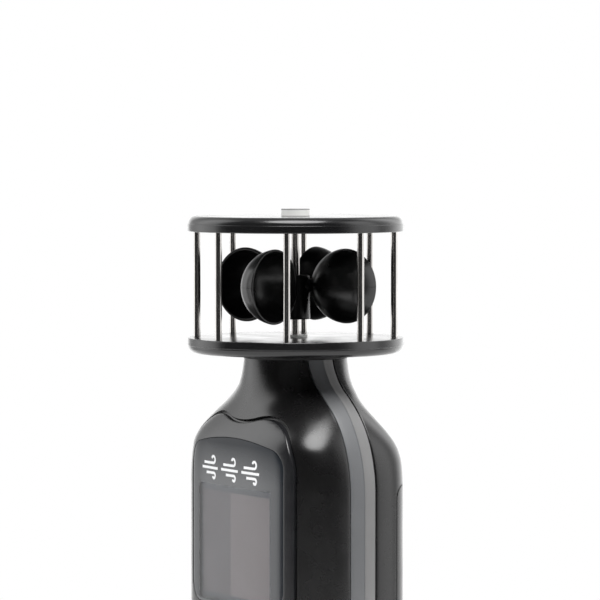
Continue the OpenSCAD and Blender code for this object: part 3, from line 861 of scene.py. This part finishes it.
for k in range(ROD_COUNT):
    low_z, high_z = BASE_TOP - 0.3, TOP_LOW + 0.3
    rod_profile = [(ROD_R, low_z), (ROD_R, BASE_TOP + 0.25)]
    rod_profile += [(ROD_R, BASE_TOP + (TOP_LOW - BASE_TOP) * t / 6) for t in range(1, 6)]
    rod_profile += [(ROD_R, TOP_LOW - 0.25), (ROD_R, high_z)]
    angle = ROD_TURN + 360 / ROD_COUNT * k
    a = math.radians(angle)
    at = (ROD_CIRCLE_R * math.cos(a), ROD_CIRCLE_R * math.sin(a), 0)
    rod = turned(lathe(rod_profile, 24, False), 0, at)
    piece(f"cage_rod_body_{k + 1}", *rod, ROD_STEEL, "meter", "rod_steel", f"cage_rod_{k + 1}")

seal_profile = [(SPIGOT_R + 0.1, CASE_H), (SEAL_R - 0.3, CASE_H)]
seal_profile += arc(SEAL_R - 0.5, CASE_H + 0.55, 0.5, -60, 60, 8)
seal_profile += [(SEAL_R - 0.3, BASE_LOW), (SPIGOT_R + 0.1, BASE_LOW)]
piece("neck_seal_body", *lathe(seal_profile, 128, True), SEAL_BLACK, "meter", "seal_rubber",
      "neck_seal")


# ---------------------------------------------------------------- the rotor

def cup_profile():
    """Half section of a cup: (radius, height). Its rim lies at height 0 and faces up."""
    r_out, r_in = CUP_R, CUP_R - CUP_WALL
    edge = 0.15
    out_x = math.sqrt(r_out ** 2 - (CUP_CUT + edge) ** 2)
    in_x = math.sqrt(r_in ** 2 - (CUP_CUT + edge) ** 2)
    profile = arc(0, CUP_CUT, r_out, -89.2, -9.2, 40)
    profile += arc(out_x - edge, -edge, edge, -8, 90, 6)
    profile += arc(in_x + edge, -edge, edge, 90, 188, 6)
    profile += arc(0, CUP_CUT, r_in, -10, -89.1, 40)
    return profile


def cup(k):
    face = math.radians(CUP_FACE)
    bowl = turned(tipped_to_x(lathe(cup_profile(), 96, False)), CUP_FACE, (ARM_R, 0, 0))
    # Moulding line: a fine rib round the outside of the bowl at mid height
    rib, rib_faces = [], []
    steps = 64
    ball_x, ball_y = ARM_R + CUP_CUT * math.cos(face), CUP_CUT * math.sin(face)
    for i in range(steps + 1):
        a = math.radians(CUP_FACE + 98.6 + 162.8 * i / steps)
        for r, z in ((CUP_R - 0.1, -0.16), (CUP_R + 0.07, -0.05), (CUP_R + 0.07, 0.05),
                     (CUP_R - 0.1, 0.16)):
            rib.append((ball_x + r * math.cos(a), ball_y + r * math.sin(a), z))
    for i in range(steps):
        for j in range(4):
            n = (j + 1) % 4
            rib_faces.append((4 * i + j, 4 * i + n, 4 * i + 4 + n, 4 * i + 4 + j))
    rib_faces.append((3, 2, 1, 0))
    rib_faces.append(tuple(4 * steps + j for j in range(4)))
    # Stem: flared at both ends, from inside the hub to the bowl's wall
    stem_profile = []
    end = ARM_R - CUP_REACH + CUP_WALL * 0.6
    for i in range(13):
        t = i / 12
        radius = STEM_R * (0.84 + 0.16 * (2 * t - 1) ** 4)
        stem_profile.append((radius, STEM_START + (end - STEM_START) * t))
    stem = tipped_to_x(lathe(stem_profile, 32, False))
    part = turned(joined(bowl, (rib, rib_faces), stem), ARM_TURN + 360 / CUP_COUNT * k,
                  (0, 0, CUP_Z))
    piece(f"cup_body_{k + 1}", *part, ROTOR_BLACK, "rotor", "rotor_black", f"cup_{k + 1}",
          sharp=40)


for k in range(CUP_COUNT):
    cup(k)

hub_profile = [(2.56, HUB_LOW), (HUB_R - 0.3, HUB_LOW)]
hub_profile += arc(HUB_R - 0.3, HUB_LOW + 0.3, 0.3, -90, 0, 5)
hub_profile += [(HUB_R, CUP_Z), (HUB_R - 0.08, HUB_HIGH - 1.2)]
hub_profile += arc(HUB_R - 0.58, HUB_HIGH - 0.5, 0.5, 0, 90, 6)
hub_profile += [(SPINDLE_R + 0.02, HUB_HIGH), (SPINDLE_R + 0.02, HUB_LOW + 3.1)]
hub_profile += [(2.56, HUB_LOW + 3.1)]
piece("rotor_hub_body", *lathe(hub_profile, 64, True), ROTOR_BLACK, "rotor", "rotor_black",
      "rotor_hub")

spindle_profile = [(SPINDLE_R - 0.1, BASE_TOP - 1.9), (SPINDLE_R, BASE_TOP - 1.8)]
spindle_profile += [(SPINDLE_R, BASE_TOP + (TOP_LOW - BASE_TOP) * t / 6) for t in range(7)]
spindle_profile += [(SPINDLE_R, TOP_LOW + 1.8), (SPINDLE_R - 0.1, TOP_LOW + 1.9)]
piece("spindle_body", *lathe(spindle_profile, 32, False), ROD_STEEL, "rotor", "spindle_steel",
      "spindle")


# ---------------------------------------------------------------- the case

def boolean(obj, cutter, operation):
    """Cuts a piece with another mesh and keeps the result."""
    modifier = obj.modifiers.new("cut", "BOOLEAN")
    modifier.operation = operation
    modifier.object = cutter
    modifier.solver = "EXACT"
    bpy.context.view_layer.update()
    result = bpy.data.meshes.new_from_object(
        obj.evaluated_get(bpy.context.evaluated_depsgraph_get()))
    obj.modifiers.clear()
    obj.data = result
    bpy.data.objects.remove(cutter)
    obj.data.polygons.foreach_set("use_smooth", [True] * len(obj.data.polygons))
    obj.data.set_sharp_from_angle(angle=math.radians(32))


def cutter(part):
    mesh = bpy.data.meshes.new("cutter")
    mesh.from_pydata([Vector(v) * MM for v in part[0]], [], part[1])
    mesh.validate()
    obj = bpy.data.objects.new("cutter", mesh)
    bpy.context.scene.collection.objects.link(obj)
    return obj


def door_block(gap):
    """The space behind the case that the battery door fills, grown by gap."""
    edge, top_z, c = DOOR_EDGE - gap, DOOR_TOP + gap, DOOR_CORNER
    outline = [(edge, -5), (DOOR_EDGE + 30, -5), (DOOR_EDGE + 30, top_z)]
    outline += [(DOOR_EDGE + c + 0.6, top_z)]
    outline += [(edge + c - c * math.sin(a), top_z - c + c * math.cos(a))
                for a in [math.pi / 2 * k / 8 for k in range(9)]]
    n = len(outline)
    verts = [(-40, y, z) for y, z in outline] + [(40, y, z) for y, z in outline]
    faces = [tuple(reversed(range(n))), tuple(n + i for i in range(n))]
    faces += [(i, (i + 1) % n, n + (i + 1) % n, n + i) for i in range(n)]
    return verts, faces


front = piece("front_shell_body", *mirrored_y(half_case(FRONT_LEAD)), CASE_BLACK, "meter",
              "case_black", "front_shell")
recess = front_panel(
    bezel_outline(), [],
    [(-GROOVE - 0.5, 2.0), (-GROOVE - 0.1, 0.0), (-GROOVE + 0.05, -0.25), (-0.25, -BEZEL_SEAT)])
boolean(front, cutter(recess), "DIFFERENCE")
opening = [(0.0, 2.0), (0.0, -4.0)]
boolean(front, cutter(front_panel(window_outline(0.15), [], opening)), "DIFFERENCE")
for x in (-KEY_X, KEY_X):
    hole = front_panel(circle_outline(x, KEY_Z, KEY_R + 0.15), [], opening)
    boolean(front, cutter(hole), "DIFFERENCE")
half = half_case(0.0)
rear = piece("rear_shell_body", *half, CASE_BLACK, "meter", "case_black", "rear_shell")
door = piece("battery_door_body", *half, CASE_BLACK, "door", "case_black", "battery_door")
boolean(rear, cutter(door_block(0.15)), "DIFFERENCE")
boolean(door, cutter(door_block(-0.1)), "INTERSECT")

# The rear band gets the lighter grey as painted light, the front band the darker grey as painted
# shade.
piece("rear_band_body", *half_band(0.0), BAND_LIT_GREY, "meter", "band_light_gray", "rear_band")
piece("front_band_body", *mirrored_y(half_band(FRONT_LEAD)), BAND_SHADED_GREY, "meter", "band_gray",
      "front_band")

keys = [circle_outline(x, KEY_Z, KEY_R + 0.15) for x in (-KEY_X, KEY_X)]
bezel = front_panel(bezel_outline(), [window_outline(0.03)] + keys,
                    rounded_rims(BEZEL_PROUD, 0.15 - BEZEL_SEAT, 0.2))
piece("bezel_body", *bezel, BEZEL_GREY, "meter", "bezel_gray", "bezel")
lens = front_panel(window_outline(), [], rounded_rims(LENS_PROUD, LENS_LOW, 0.15))
piece("window_lens_body", *lens, WINDOW_SMOKE, "meter", "window_smoke", "window_lens")

display = box_part((-PANE_HW, -LCD_DEPTH, PANE_LOW), (PANE_HW, -LCD_DEPTH + 2.8, PANE_TOP))
piece("lcd_body", *display, LCD_FACE, "meter", "lcd_face", "lcd_module")

for number, x in enumerate((-KEY_X, KEY_X)):
    top_y = CASE_HD + KEY_PROUD
    flange_y = KEY_BACK + KEY_FLANGE
    key_profile = [(KEY_FLANGE_R, KEY_BACK), (KEY_FLANGE_R, flange_y), (KEY_R, flange_y)]
    key_profile += arc(KEY_R - 0.5, top_y - 0.56, 0.5, 0, 84, 7)
    key_profile += [(2.6, top_y - 0.02), (1.2, top_y)]
    key = turned(tipped_to_y(lathe(key_profile, 72, False)), 180, (x, 0, KEY_Z))
    piece(f"button_body_{number + 1}", *key, KEY_GREY, f"key_{number + 1}", "key_gray",
          f"button_{number + 1}")


# ---------------------------------------------------------------- the mark on the window

def stroke(path, width):
    """A printed line on the window, along a path of x and z."""
    verts, faces = [], []
    last = len(path) - 1
    for i, p in enumerate(path):
        (x0, z0), (x1, z1) = path[max(0, i - 1)], path[min(last, i + 1)]
        length = math.hypot(x1 - x0, z1 - z0)
        nx, nz = -(z1 - z0) / length * width / 2, (x1 - x0) / length * width / 2
        for x, z in ((p[0] + nx, p[1] + nz), (p[0] - nx, p[1] - nz)):
            for lift in (LENS_PROUD - 0.02, LENS_PROUD + 0.025):
                verts.append((x, -depth_at(x, z) - lift, z))
    for i in range(last):
        a, b = 4 * i, 4 * i + 4
        for j, k in ((0, 1), (1, 3), (3, 2), (2, 0)):
            faces.append((a + k, b + k, b + j, a + j))
    faces.append((2, 3, 1, 0))
    faces.append((4 * last, 4 * last + 1, 4 * last + 3, 4 * last + 2))
    return verts, faces


def breeze(x, z, length, curl, up):
    """A wind line that ends in a curl, upwards or downwards."""
    path = [(x + length * i / 8, z) for i in range(8)]
    side = 1 if up else -1
    for i in range(15):
        a = math.radians(-90 + 250 * i / 14)
        path.append((x + length + curl * math.cos(a), z + side * (curl + curl * math.sin(a))))
    return path


# Three plain wind symbols in a row, each of three lines
MARK_Z = CASE_H - 25.3
MARK_FIRST_X = -14.2
MARK_STEP = 9.3
MARK_LINE = 0.6
mark = []
for k in range(3):
    x = MARK_FIRST_X + MARK_STEP * k
    mark.append(stroke(breeze(x + 1.0, MARK_Z + 0.95, 4.6, 0.8, True), MARK_LINE))
    mark.append(stroke([(x + 0.2 * i, MARK_Z - 0.2) for i in range(39)], MARK_LINE))
    mark.append(stroke(breeze(x + 2.2, MARK_Z - 1.35, 3.6, 0.6, False), MARK_LINE))
piece("window_mark", *joined(*mark), PRINT_WHITE, "meter", "window_smoke")

INNER = {
    CAP_WHITE: ["upper_bearing", "lower_bearing"],
    BRASS: ["tripod_bush"],
    SCREW_STEEL: ["case_screws", "cage_screws"],
    FERRITE: ["rotor_magnet"],
    FRAME_WHITE: ["lcd_frame"],
    CONNECTOR: ["lcd_connector_1", "lcd_connector_2"],
    BOARD_GREEN: ["main_board", "sensor_board"],
    INNER_BLACK: ["microcontroller", "switch_1", "switch_2", "speed_sensor", "battery_tray"],
    RIBBON: ["sensor_ribbon"],
    CELL_JACKET: ["battery_1", "battery_2"],
    NICKEL: ["contact_plate_1", "contact_plate_2", "contact_spring_1", "contact_spring_2"],
}
for finish, nodes in INNER.items():
    for node in nodes:
        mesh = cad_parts[node].data
        mesh.materials.clear()
        mesh.materials.append(finish)


# ---------------------------------------------------------------- camera, floor and light

AZIMUTH = 59.0
CAMERA_DISTANCE = 863.1
CAMERA_SIDE = 1.04
CAMERA_OVER_DISC = 46.56
CAMERA_PITCH = 2.52

a = math.radians(AZIMUTH)
right = Vector((math.cos(a), math.sin(a), 0))
back = Vector((math.sin(a), -math.cos(a), 0))
camera_data = bpy.data.cameras.new("camera")
camera_data.lens = 224.4
camera_data.sensor_width = 36
camera_data.clip_start = 0.05
camera_data.clip_end = 20
camera = bpy.data.objects.new("camera", camera_data)
camera.location = (
    right * CAMERA_SIDE + back * CAMERA_DISTANCE + Vector((0, 0, BASE_TOP + CAMERA_OVER_DISC))) * MM
camera.rotation_euler = (math.radians(90 - CAMERA_PITCH), 0, a)
bpy.context.scene.collection.objects.link(camera)
bpy.context.scene.camera = camera

floor_mesh = bpy.data.meshes.new("floor")
floor_mesh.from_pydata(
    [(x * MM, y * MM, 0) for x, y in arc(0, 0, 300, 0, 357, 119)], [], [tuple(range(120))])
floor = bpy.data.objects.new("floor", floor_mesh)
floor_material = plastic("floor_pale", (0.86, 0.86, 0.86), (0.9, 0.9, 0.9), (0.7, 0.8))
floor_mesh.materials.append(floor_material)
bpy.context.scene.collection.objects.link(floor)


def area_light(name, at, size, power_w, target=(0, 0, 0.09)):
    data = bpy.data.lights.new(name, "AREA")
    data.shape = "ELLIPSE"
    data.size, data.size_y = size
    data.energy = power_w
    obj = bpy.data.objects.new(name, data)
    obj.location = at
    obj.rotation_euler = (Vector(target) - Vector(at)).to_track_quat("-Z", "Y").to_euler()
    bpy.context.scene.collection.objects.link(obj)
    return obj


def placed(side, toward_camera, height):
    """A place given as seen from the camera: to its right, towards it and up."""
    p = right * side + back * toward_camera
    return (p.x, p.y, height)


area_light("overhead_soft", placed(0.0, 0.47, 1.09), (0.9, 0.8), 19)

world = bpy.data.worlds.new("studio")
bpy.context.scene.world = world
world.use_nodes = True
tree = world.node_tree
tree.nodes.clear()
output = tree.nodes.new("ShaderNodeOutputWorld")
seen = tree.nodes.new("ShaderNodeBackground")
seen.inputs["Color"].default_value = (1, 1, 1, 1)
seen.inputs["Strength"].default_value = 1.0
around = tree.nodes.new("ShaderNodeBackground")
direction = tree.nodes.new("ShaderNodeTexCoord")


def along(vector):
    node = tree.nodes.new("ShaderNodeVectorMath")
    node.operation = "DOT_PRODUCT"
    node.inputs[1].default_value = tuple(vector)
    tree.links.new(direction.outputs["Generated"], node.inputs[0])
    return node.outputs["Value"]


# The studio round the object, by bearing from the camera in degrees: (bearing, brightness).
# A dark room stands behind the camera and a bright backdrop behind the object.
STUDIO = [
    (-180, 2.6), (-161, 2.6), (-150, 0.9), (-135, 1.2), (-126, 2.1), (-118, 2.6), (-96, 2.6),
    (-88, 0.5), (-78, 0.05), (50, 0.05), (60, 0.8), (70, 2.4), (92, 2.4), (104, 0.9),
    (120, 1.6), (131, 2.4), (160, 2.6), (180, 2.6),
]
# The same by height over the horizon, as the sine of the angle: (sine, share).
HEIGHTS = [(-1, 0.5), (-0.3, 0.9), (0.05, 1.0), (0.22, 0.6), (0.5, 0.3), (0.87, 0.25), (1, 0.3)]
SIDE_HEIGHTS = [
    (-1, 0.5), (-0.3, 0.9), (0.05, 1.0), (0.2, 1.05), (0.62, 1.25), (0.74, 1.0), (0.84, 0.25),
    (1, 0.2),
]
BRIGHTEST = max(v for _, v in STUDIO)
MOST_SHARE = max(v for _, v in SIDE_HEIGHTS)
bearing = tree.nodes.new("ShaderNodeMath")
bearing.operation = "ARCTAN2"
tree.links.new(along(right), bearing.inputs[0])
tree.links.new(along(back), bearing.inputs[1])
turn = map_range(tree, bearing.outputs[0], -math.pi, math.pi, 0.0, 1.0)
ring = ramp(tree, turn, [(0.5 + b / 360, grey(v / BRIGHTEST)) for b, v in STUDIO])
height = map_range(tree, along(Vector((0, 0, 1))), -1.0, 1.0, 0.0, 1.0)
behind = ramp(tree, height, [(0.5 + h / 2, grey(v)) for h, v in HEIGHTS])
beside = ramp(tree, height, [(0.5 + h / 2, grey(v / MOST_SHARE)) for h, v in SIDE_HEIGHTS])
sideways = math_node(tree, "ABSOLUTE", bearing.outputs[0])
in_front = map_range(tree, sideways, math.radians(142), math.radians(155), 1.0, 0.0)
beside = math_node(tree, "MULTIPLY", beside, value=MOST_SHARE)
share = coloured_mix(tree, in_front, behind, beside)
strength = math_node(tree, "MULTIPLY", math_node(tree, "MULTIPLY", ring, share), value=BRIGHTEST)
tree.links.new(strength, around.inputs["Strength"])
path = tree.nodes.new("ShaderNodeLightPath")
mix = tree.nodes.new("ShaderNodeMixShader")
tree.links.new(path.outputs["Is Camera Ray"], mix.inputs["Fac"])
tree.links.new(around.outputs["Background"], mix.inputs[1])
tree.links.new(seen.outputs["Background"], mix.inputs[2])
tree.links.new(mix.outputs["Shader"], output.inputs["Surface"])

bpy.context.scene.view_settings.view_transform = "Standard"
